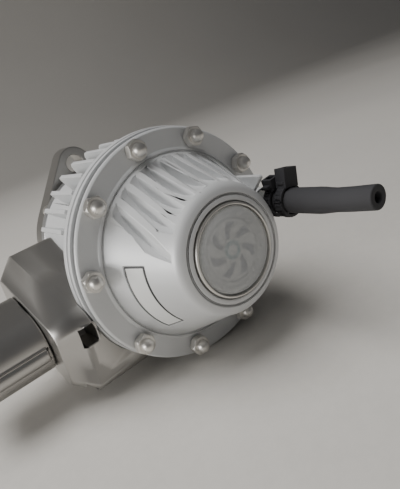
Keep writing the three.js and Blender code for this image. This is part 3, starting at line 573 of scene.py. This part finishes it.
def nipple_shape():
    outline = [
        (1.1, -45), (1.6, -45), (2.6, -41), (2.1, -40.8), (2.1, -34), (2.6, -33.8), (2.1, -30), (2.1, -19.3), (4.2, -19.3),
        (4.4, -19.1), (4.4, -15.3), (2.5, -15.3), (2.5, -7.5), (1.1, -7.5),
    ]
    return put(turned(outline, steps=48, closed=True), NIPPLE)


def tie_shape(y, wide, high, tail, degrees):
    inner = 4.95
    strap = turned([(inner, y - 1.7), (inner + 1, y - 1.7), (inner + 1, y + 1.7), (inner, y + 1.7)], 48, closed=True)
    head = block((-wide / 2, y - 2.4, inner - 0.1), (wide / 2, y + 2.4, inner + high))
    slot = block((-wide / 2 + 1.2, y - 1.5, inner + high - 1.6), (wide / 2 - 1.2, y + 1.5, inner + high + 1))
    stub = block((-wide / 2 - tail, y - 1.5, inner + 1.3), (0, y + 1.5, inner + 2.4))
    ribs = [turned([(inner + 0.9, y - 1.2), (inner + 1.25, y - 1.2), (inner + 1.25, y + 1.2), (inner + 0.9, y + 1.2)],
                   2, closed=True, turn=math.radians(5)) for _ in range(18)]
    for i, rib in enumerate(ribs):
        put(rib, degrees=100 + 13 * i)
    body = worked(strap, head, "UNION")
    body = worked(body, stub, "UNION")
    body = worked(body, gathered(ribs), "UNION")
    body = worked(body, slot, "DIFFERENCE")
    return put(body, NIPPLE, degrees)


class VALVE_OT_vacuum_line(bpy.types.Operator):
    """Make the nipple, the short hose and its two ties"""

    bl_idname = "valve.vacuum_line"
    bl_label = "Vacuum line"

    def execute(self, context):
        show("nipple", nipple_shape(), ["vacuum_nipple"], edge=0.12)
        show("hose", hose_shape(), ["vacuum_hose"], edge=0)
        show("tie_rear", tie_shape(-22.4, 5, 4.4, 2, 5), ["cable_tie_rear"], edge=0.2)
        show("tie_front", tie_shape(-28, 6.5, 7, 0.4, -12), ["cable_tie_front"], edge=0.2)
        return {"FINISHED"}


# ------------------------------------------------------------------ fasteners
def chamfered_hex(y0, y1, front, back):
    """A hexagon along the main axis whose corners are turned off at the front, the back or both."""
    hexagon = rod(HEX_R, (0, y0, 0), (0, y1, 0), 6)
    flat, drop = HEX_R * 0.86, 0.75
    outline = [(0, y1), (flat if back else HEX_R + 0.2, y1)]
    if back:
        outline.append((HEX_R + 0.05, y1 - drop))
    if front:
        outline.append((HEX_R + 0.05, y0 + drop))
    outline += [(flat if front else HEX_R + 0.2, y0), (0, y0)]
    return worked(hexagon, turned(outline, 48), "INTERSECT")


def cap_nut_shape():
    dome = [(0, -1.5), (2.5, -1.5), (2.5, -4.2)]
    dome += [(2.5 * math.cos(a), -4.3 - 2.5 * math.sin(a)) for a in [math.radians(15 * i) for i in range(1, 6)]]
    dome += [(0, -6.8)]
    return worked(chamfered_hex(-3.5, -0.3, True, True), turned(dome, 32), "UNION")


def bolt_shape():
    seat = HOUSING_BACK + 0.3
    shank = rod(1.9, (0, -3.2, 0), (0, seat + 0.5, 0), 20)
    return worked(chamfered_hex(seat, seat + 2.8, False, True), shank, "UNION")


class VALVE_OT_fasteners(bpy.types.Operator):
    """Make the cap nuts and the flange bolts behind them"""

    bl_idname = "valve.fasteners"
    bl_label = "Nuts and bolts"

    def execute(self, context):
        nut, bolt = cap_nut_shape(), bolt_shape()
        for i, angle in enumerate(BOLT_ANGLES, 1):
            spot = on_circle(BOLT_CIRCLE_R, angle)
            show(f"nut_{i}", put(nut.copy(), spot, angle + 10), [f"cap_nut_{i}"], edge=0.12)
            show(f"bolt_{i}", put(bolt.copy(), spot, 0), [f"flange_bolt_{i}"], edge=0.12)
        return {"FINISHED"}


# ------------------------------------------------------------------ housing
def port_outline(half_y, half_z, corner, x, steps=8):
    """Rounded rectangle in the side face, tilted with the port, as points at that x."""
    points = []
    for quarter, (sy, sz) in enumerate(((1, 1), (-1, 1), (-1, -1), (1, -1))):
        for i in range(steps + 1):
            a = (quarter + i / steps) * math.pi / 2
            y, z = sy * (half_y - corner) + corner * math.cos(a), sz * (half_z - corner) + corner * math.sin(a)
            turned_y = y * math.cos(PORT_TILT) - z * math.sin(PORT_TILT)
            turned_z = y * math.sin(PORT_TILT) + z * math.cos(PORT_TILT)
            points.append(Vector((x, PORT.y + turned_y, PORT.z + turned_z)))
    return points


def collar_shape():
    """The side block, with its broad bevel made by pushing and shrinking its end face."""
    bm = bmesh.new()
    face = bm.faces.new([bm.verts.new(p) for p in port_outline(32, 20, 8, -16)])
    for step, scale_y, scale_z in ((-33, 1, 1), (-8, 26 / 32, 14 / 20)):
        out = bmesh.ops.extrude_face_region(bm, geom=[face])
        face = next(g for g in out["geom"] if isinstance(g, bmesh.types.BMFace))
        bmesh.ops.translate(bm, verts=face.verts, vec=(step, 0, 0))
        tilt = Matrix.Rotation(PORT_TILT, 4, "X")
        about = tilt @ Matrix.Diagonal((1, scale_y, scale_z, 1)) @ tilt.inverted()
        bmesh.ops.transform(bm, matrix=about, space=Matrix.Translation(-PORT), verts=face.verts)
    return tidied(bm)


def fin_shape(angle):
    outline = [(30, 8.8), (35.4, 8.8), (35.4, 12.9), (FIN_R, 17), (FIN_R, 38.5), (41.5, 40), (30, 40)]
    bm = pushed([(r, y, -FIN_T / 2) for r, y in outline], (0, 0, FIN_T))
    for v in bm.verts:
        if v.co.x > 34:
            v.co.z *= 0.8
    return put(bm, degrees=angle)


def lug_shape(y0):
    x, z, r = COLLAR_OUT + 2, -HOUSING_R + 6, 6
    body = worked(rod(r, (x, y0, z), (x, y0 + 14, z), 48), block((x - r, y0, z), (x + r, y0 + 14, z + 9)), "UNION")
    return worked(body, rod(2.6, (x, y0 - 1, z), (x, y0 + 15, z), 32), "DIFFERENCE")


def housing_shape():
    outline = [
        (31.5, 4), (44.5, 4), (44.5, 5.9), (44.1, 6.05), (44.1, 6.4), (HOUSING_R, 6.5), (HOUSING_R, HOUSING_BACK),
        (BARREL_R + 2, HOUSING_BACK), (BARREL_R + 0.6, HOUSING_BACK + 0.5), (BARREL_R, HOUSING_BACK + 2),
        (BARREL_R, BARREL_BACK), (28, BARREL_BACK), (28, 16), (8.5, 16), (8.5, 21.5), (5.8, 21.5), (5.8, 8.3),
        (8.5, 8.3), (8.5, 12.5), (27, 12.5), (31.5, 8),
    ]
    body = turned(outline, steps=128, closed=True)
    body = worked(body, gathered([fin_shape(a) for a in FIN_ANGLES]), "UNION")
    return cut(body, housing_cuts())


def side_block_shape():
    """The block that carries the outlet, with its two ears."""
    body = worked(collar_shape(), rod(BARREL_R - 0.2, (0, -5, 0), (0, 80, 0), 128), "DIFFERENCE")
    body = worked(body, gathered([lug_shape(14), lug_shape(50)]), "UNION")
    return cut(body, [
        rod(HOUSING_R + 0.05, (0, -12, 0), (0, HOUSING_BACK + 0.05, 0), 128),
        block((-99, BARREL_BACK, -99), (99, 99, 99)), *housing_cuts(),
    ])


def housing_cuts():
    return [
        rod(9.5, (-60, PORT.y, PORT.z), (-14, PORT.y, PORT.z), 64),
        rod(12.9, (-60, PORT.y, PORT.z), (COLLAR_OUT + 6, PORT.y, PORT.z), 64),
        block((COLLAR_OUT - 1, 3, -17), (COLLAR_OUT + 5, 17, -9)),
        rod(2, (COLLAR_OUT + 3, PORT.y, -46), (COLLAR_OUT + 3, PORT.y, PORT.z), 24),
        gathered([put(rod(4.7, (0, HOUSING_BACK, 0), (0, 14, 0), 32), on_circle(BOLT_CIRCLE_R, a)) for a in BOLT_ANGLES]),
    ]


class VALVE_OT_housing(bpy.types.Operator):
    """Make the finned housing with its side block and ears, and the diaphragm in its front joint"""

    bl_idname = "valve.housing"
    bl_label = "Housing"

    def execute(self, context):
        fins = [f"housing_fins_{i}" for i in range(1, 5)]
        show("housing_shell", housing_shape(), ["rear_housing", *fins], edge=0.3)
        block_shell = show("block_shell", side_block_shape(), ["side_block"], edge=0.6, segments=3)
        # The side block takes the dark casting finish instead of the housing's silver paint: partly its own raw
        # casting, partly painted shade.
        block_shell.data.materials[0] = finish("raw_casting")
        sheet = [(3, 2.7), (26, 2.7), (27, 4.2), (28.4, 5.2), (29.8, 4.2), (30.8, 2.7), (43.2, 2.7),
                 (43.2, 3.7), (31.2, 3.7), (30.2, 5.5), (28.4, 6.6), (26.6, 5.5), (25.6, 3.7), (3, 3.7)]
        show("diaphragm_sheet", turned(sheet, 96, closed=True), ["diaphragm"], edge=0.1)
        return {"FINISHED"}


# ------------------------------------------------------------------ outlet
def pipe_shape():
    start = COLLAR_OUT - 8.3
    body = pushed(port_outline(17.5, 12.5, 11, PIPE_END, 14), (start - PIPE_END, 0, 0))
    body = worked(body, rod(12.5, (start - 2, PORT.y, PORT.z), (COLLAR_OUT + 5.7, PORT.y, PORT.z), 64), "UNION")
    y, z = PORT.y - 16.5 * math.cos(PORT_TILT), PORT.z - 16.5 * math.sin(PORT_TILT) + 1
    finger = rod(3.4, (PIPE_END + 4, y, z), (start - 1.5, y, z), 32)
    body = worked(body, finger, "UNION")
    return cut(body, [rod(9.5, (PIPE_END - 1, PORT.y, PORT.z), (-30, PORT.y, PORT.z), 64)])


class VALVE_OT_outlet(bpy.types.Operator):
    """Make the side outlet pipe"""

    bl_idname = "valve.outlet"
    bl_label = "Outlet"

    def execute(self, context):
        show("side_pipe", pipe_shape(), ["outlet_pipe"], edge=0.7, segments=3)
        return {"FINISHED"}


# ------------------------------------------------------------------ inlet
def inlet_shape():
    outline = [
        (16.5, SEAT_Y), (27.6, SEAT_Y), (27.6, 64.3), (BARREL_R - 0.5, 64.3), (BARREL_R, 64.8), (BARREL_R, 68.7),
        (BARREL_R - 0.5, 69.2), (NECK_R, 69.2), (NECK_R, 75.8), (22.2, 75.8), (22.2, 78.2), (NECK_R, 78.2),
        (NECK_R, 81.2), (22.6, 81.2), (22.6, 83), (NECK_R, 83), (NECK_R, 84.4), (NECK_R - 0.6, NECK_BACK),
        (17.3, NECK_BACK), (16.5, 84.2),
    ]
    body = turned(outline, 128, closed=True)
    sleeve = turned([(21.9, 46.4), (25.2, 46.4), (25.2, SEAT_Y + 1), (21.9, SEAT_Y + 1)], 96, closed=True)
    sleeve = cut(sleeve, [block((-40, 44.4, -16), (40, SEAT_Y, 16)), block((-16, 44.4, -40), (16, SEAT_Y, 40))])
    return worked(body, sleeve, "UNION")


def flange_plate_shape():
    """Two lobes and a round waist, with the tangents between them."""
    waist, lobe, lobe_z = 31.0, 8.0, 36.8
    spread = math.acos((waist - lobe) / lobe_z)
    up = math.pi / 2
    points = []
    for centre, radius, a0, a1 in ((0, waist, -up + spread, up - spread), (lobe_z, lobe, up - spread, up + spread),
                                   (0, waist, up + spread, 3 * up - spread),
                                   (-lobe_z, lobe, 3 * up - spread, 3 * up + spread)):
        for i in range(17):
            a = a0 + (a1 - a0) * i / 16
            points.append((radius * math.cos(a), 73, centre + radius * math.sin(a)))
    body = pushed(points, (0, 10.2, 0))
    return cut(body, [rod(24.4, (0, 70, 0), (0, 84, 0), 96), rod(29.4, (0, 81, 0), (0, 86, 0), 96),
                      rod(4.2, (0, 70, lobe_z), (0, 84, lobe_z), 40), rod(4.2, (0, 70, -lobe_z), (0, 84, -lobe_z), 40)])


def clip_shape():
    band = turned([(23, 81.5), (26, 81.5), (26, 82.7), (23, 82.7)], 96, closed=True)
    band = cut(band, [block((-2, 80, 10), (2, 84, 40))])
    for side in (-1, 1):
        ear = worked(rod(2.2, (4 * side, 81.5, 26.4), (4 * side, 82.7, 26.4), 24),
                     rod(0.9, (4 * side, 80, 26.4), (4 * side, 84, 26.4), 16), "DIFFERENCE")
        band = worked(band, ear, "UNION")
    return band


def cap_screw_shape():
    head = worked(rod(2.7, (0, 69.5, 0), (0, 72.3, 0), 32), rod(1.4, (0, 70.9, 0), (0, 74, 0), 6), "DIFFERENCE")
    return worked(head, rod(1.5, (0, 55, 0), (0, 70, 0), 20), "UNION")


class VALVE_OT_inlet(bpy.types.Operator):
    """Make the inlet neck, its flange, its retaining ring and its screws"""

    bl_idname = "valve.inlet"
    bl_label = "Inlet"

    def execute(self, context):
        show("inlet_neck", inlet_shape(), ["inlet_cap"], edge=0.2)
        show("two_bolt_flange", flange_plate_shape(), ["mounting_flange"], edge=0.6, segments=3)
        show("snap_ring", clip_shape(), ["retaining_ring"], edge=0.15)
        screw = cap_screw_shape()
        for i, angle in enumerate((45, 135, 225, 315), 1):
            show(f"screw_{i}", put(screw.copy(), on_circle(30.5, angle)), [f"inlet_screw_{i}"], edge=0.15)
        return {"FINISHED"}


# ------------------------------------------------------------------ valve train
def coil_shape(radius, wire, y0, y1, turns):
    """A wire's round section spun about the main axis while it climbs along it."""
    bm = bmesh.new()
    place = Matrix.Translation((radius, y0 + wire, 0))
    ring = bmesh.ops.create_circle(bm, cap_ends=True, segments=14, radius=wire, matrix=place)
    rise = (y1 - y0 - 2 * wire) / (turns * 40)
    bmesh.ops.spin(bm, geom=ring["verts"] + list(bm.edges) + list(bm.faces), cent=(0, 0, 0), axis=(0, 1, 0),
                   dvec=(0, rise, 0), angle=FULL * turns, steps=turns * 40, use_duplicate=False)
    return tidied(bm)


def main_valve_shape():
    outline = [
        (2.9, MAIN_FRONT), (20.9, MAIN_FRONT), (21.5, MAIN_FRONT + 0.6), (21.5, MAIN_BACK), (17.2, MAIN_BACK),
        (16.2, 58.6), (11, 58.6), (10.4, MAIN_BACK), (2.9, MAIN_BACK),
    ]
    ports = [rod(2.1, (*on_circle(6.8, 60 * i)[:1], 50, on_circle(6.8, 60 * i)[2]),
                 (*on_circle(6.8, 60 * i)[:1], 60, on_circle(6.8, 60 * i)[2]), 28) for i in range(6)]
    return cut(turned(outline, 96, closed=True), [gathered(ports)])


class VALVE_OT_valve_train(bpy.types.Operator):
    """Make the main valve, the rod with its nut, and the two springs"""

    bl_idname = "valve.valve_train"
    bl_label = "Valve train"

    def execute(self, context):
        show("main_disc", main_valve_shape(), ["main_valve"], edge=0.15)
        stem = [(0, -4), (2.1, -4), (2.5, -3.6), (2.5, 5.5), (3.2, 5.5), (3.2, 49.3), (2.5, 49.3), (2.5, 64.0),
                (2.1, 64.4), (0, 64.4)]
        show("stem", turned(stem, 48), ["valve_rod"], edge=0.1)
        back = MAIN_BACK + 2.4
        nut = worked(rod(5, (0, back, 0), (0, back + 3.4, 0), 6), turned(
            [(0, back), (4.4, back), (5.05, back + 0.7), (5.05, back + 2.7), (4.4, back + 3.4), (0, back + 3.4)], 48), "INTERSECT")
        nut = worked(nut, rod(2.8, (0, back - 1, 0), (0, back + 5, 0), 32), "DIFFERENCE")
        show("lift_nut", nut, ["pickup_nut"], edge=0.12)
        for name, stands_for, size in (("big_spring", "main_spring", (18.6, 1.05, 16.3, 53.1, 5)),
                                       ("small_spring", "return_spring", (12, 1.05, -24.1, 0.9, 4))):
            spring = show(name, coil_shape(*size), [stands_for], edge=0)
            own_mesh(spring)
        return {"FINISHED"}


class VALVE_OT_inner_finishes(bpy.types.Operator):
    """Give the inner pieces that keep their own shape their finishes"""

    bl_idname = "valve.inner_finishes"
    bl_label = "Inner finishes"

    def execute(self, context):
        for name, obj in frame["nodes"].items():
            if obj.hide_render:
                continue
            material = finish(SLOTS[name])
            if not obj.material_slots:
                obj.data.materials.append(material)
            for held in obj.material_slots:
                held.material = material
        return {"FINISHED"}


# ------------------------------------------------------------------ stage
class VALVE_OT_stage(bpy.types.Operator):
    """Make the pale floor and wall, the soft lights and the camera"""

    bl_idname = "valve.stage"
    bl_label = "Stage"

    def execute(self, context):
        scene = context.scene
        colours = scene.valve_colours
        bm = bmesh.new()
        far, bend = 1.6, 0.5
        line = [(-2.4, 0.0), (far - bend, 0.0)]
        line += [(far - bend + bend * math.sin(a), bend - bend * math.cos(a)) for a in [math.radians(9 * i) for i in range(1, 11)]]
        line += [(far, 2.4)]
        verts = [bm.verts.new((-3.0, y, z)) for y, z in line]
        edges = [bm.edges.new(pair) for pair in zip(verts, verts[1:])]
        out = bmesh.ops.extrude_edge_only(bm, edges=edges)
        bmesh.ops.translate(bm, verts=[g for g in out["geom"] if isinstance(g, bmesh.types.BMVert)], vec=(6, 0, 0))
        bmesh.ops.recalc_face_normals(bm, faces=bm.faces)
        floor = standing(bm, "pale_floor")
        for face in floor.data.polygons:
            face.use_smooth = True
        pale = tuple(colours.floor)
        floor.data.materials.append(grained("pale_floor", [0.95 * v for v in pale], pale, 0.45, 0.6, grain=300,
                                            cloud=3, bump=0.01))

        world = bpy.data.worlds.new("soft_room")
        world.use_nodes = True
        world.node_tree.nodes["Background"].inputs["Color"].default_value = (0.80, 0.80, 0.82, 1)
        world.node_tree.nodes["Background"].inputs["Strength"].default_value = 0.10
        scene.world = world

        middle = ZERO + Vector((0, 0.01, 0))
        for name, place, size, power, colour, mirrored in (
            ("window", (-0.62, 0.12, 0.15), (0.42, 0.20), 2.4, (1.0, 0.985, 0.96), True),
            ("overhead", (-0.25, 0.1, 1.1), (0.9, 0.9), 14.0, (1.0, 0.985, 0.965), False),
        ):
            light = bpy.data.lights.new(name, "AREA")
            light.shape = "RECTANGLE"
            light.size, light.size_y = size
            light.energy = power
            light.color = colour
            lamp = bpy.data.objects.new(name, light)
            lamp.location = place
            lamp.visible_glossy = mirrored
            lamp.rotation_euler = (middle - Vector(place)).to_track_quat("-Z", "Y").to_euler()
            scene.collection.objects.link(lamp)

        view = bpy.data.cameras.new("view")
        view.sensor_width = 36
        view.lens = 35.38
        view.clip_start = 0.01
        camera = bpy.data.objects.new("view", view)
        right, down, ahead = (Vector(v).normalized() for v in (
            (0.7440, -0.5865, -0.3202), (-0.4455, -0.0781, -0.8919), (0.4980, 0.8062, -0.3194)))
        spot = ZERO + Vector((-87.5, -150.7, 56.5)) * MM
        axes = Matrix((right, -down, -ahead)).transposed().to_4x4()
        camera.matrix_world = Matrix.Translation(spot) @ axes
        scene.collection.objects.link(camera)
        scene.camera = camera
        return {"FINISHED"}


# ------------------------------------------------------------------ add-on
class ValveSizes(bpy.types.PropertyGroup):
    """Sizes that change the look without leaving the frame."""

    edge: bpy.props.FloatProperty(
        name="Edge softness", description="Width of the rounding on the cover's cast edges",
        default=0.00028, min=0.00005, max=0.001, unit="LENGTH", precision=5)
    plate_crest: bpy.props.FloatProperty(
        name="Plate crest", description="Thickness of an upright plate along its crest",
        default=0.0013, min=0.0008, max=0.003, unit="LENGTH", precision=5)
    pocket_depth: bpy.props.FloatProperty(
        name="Pocket depth", description="How deep the pockets between the plates are",
        default=0.0046, min=0.001, max=0.006, unit="LENGTH", precision=5)
    hose_lift: bpy.props.FloatProperty(
        name="Hose lift", description="How far the hose's open end lifts",
        default=0.0012, min=0.0, max=0.004, unit="LENGTH", precision=5)


class ValveColours(bpy.types.PropertyGroup):
    """Base colours of the broad finishes."""

    silver: bpy.props.FloatVectorProperty(
        name="Silver paint", description="Colour of the cover and the housing",
        default=(0.50, 0.505, 0.50), size=3, subtype="COLOR", min=0, max=1)
    # The casting colour is partly the raw casting's own tone and partly painted shade on the side block and the side
    # pipe.
    casting_and_shade: bpy.props.FloatVectorProperty(
        name="Raw casting", description="Colour of the side pipe and the rear flange",
        default=(0.14, 0.13, 0.118), size=3, subtype="COLOR", min=0, max=1)
    floor: bpy.props.FloatVectorProperty(
        name="Floor", description="Colour of the floor and the wall",
        default=(0.62, 0.60, 0.565), size=3, subtype="COLOR", min=0, max=1)


PIECE_OPERATORS = (
    VALVE_OT_cover, VALVE_OT_label, VALVE_OT_badge, VALVE_OT_vacuum_line, VALVE_OT_fasteners, VALVE_OT_housing,
    VALVE_OT_outlet, VALVE_OT_inlet, VALVE_OT_valve_train, VALVE_OT_inner_finishes, VALVE_OT_stage,
)


class VALVE_PT_panel(bpy.types.Panel):
    """Lists the sizes, the colours and the pieces"""

    bl_label = "Blow-off valve"
    bl_idname = "VALVE_PT_panel"
    bl_space_type = "VIEW_3D"
    bl_region_type = "UI"
    bl_category = "Valve"

    def draw(self, context):
        for group in (context.scene.valve_sizes, context.scene.valve_colours):
            for name in group.__annotations__:
                self.layout.prop(group, name)
        for operator in PIECE_OPERATORS:
            self.layout.operator(operator.bl_idname)


CLASSES = (ValveSizes, ValveColours, *PIECE_OPERATORS, VALVE_PT_panel)


def register():
    for cls in CLASSES:
        bpy.utils.register_class(cls)
    bpy.types.Scene.valve_sizes = bpy.props.PointerProperty(type=ValveSizes)
    bpy.types.Scene.valve_colours = bpy.props.PointerProperty(type=ValveColours)


def unregister():
    del bpy.types.Scene.valve_colours
    del bpy.types.Scene.valve_sizes
    for cls in reversed(CLASSES):
        bpy.utils.unregister_class(cls)


def main():
    register()
    for operator in PIECE_OPERATORS:
        family, name = operator.bl_idname.split(".")
        getattr(getattr(bpy.ops, family), name)()


if __name__ == "__main__":
    main()
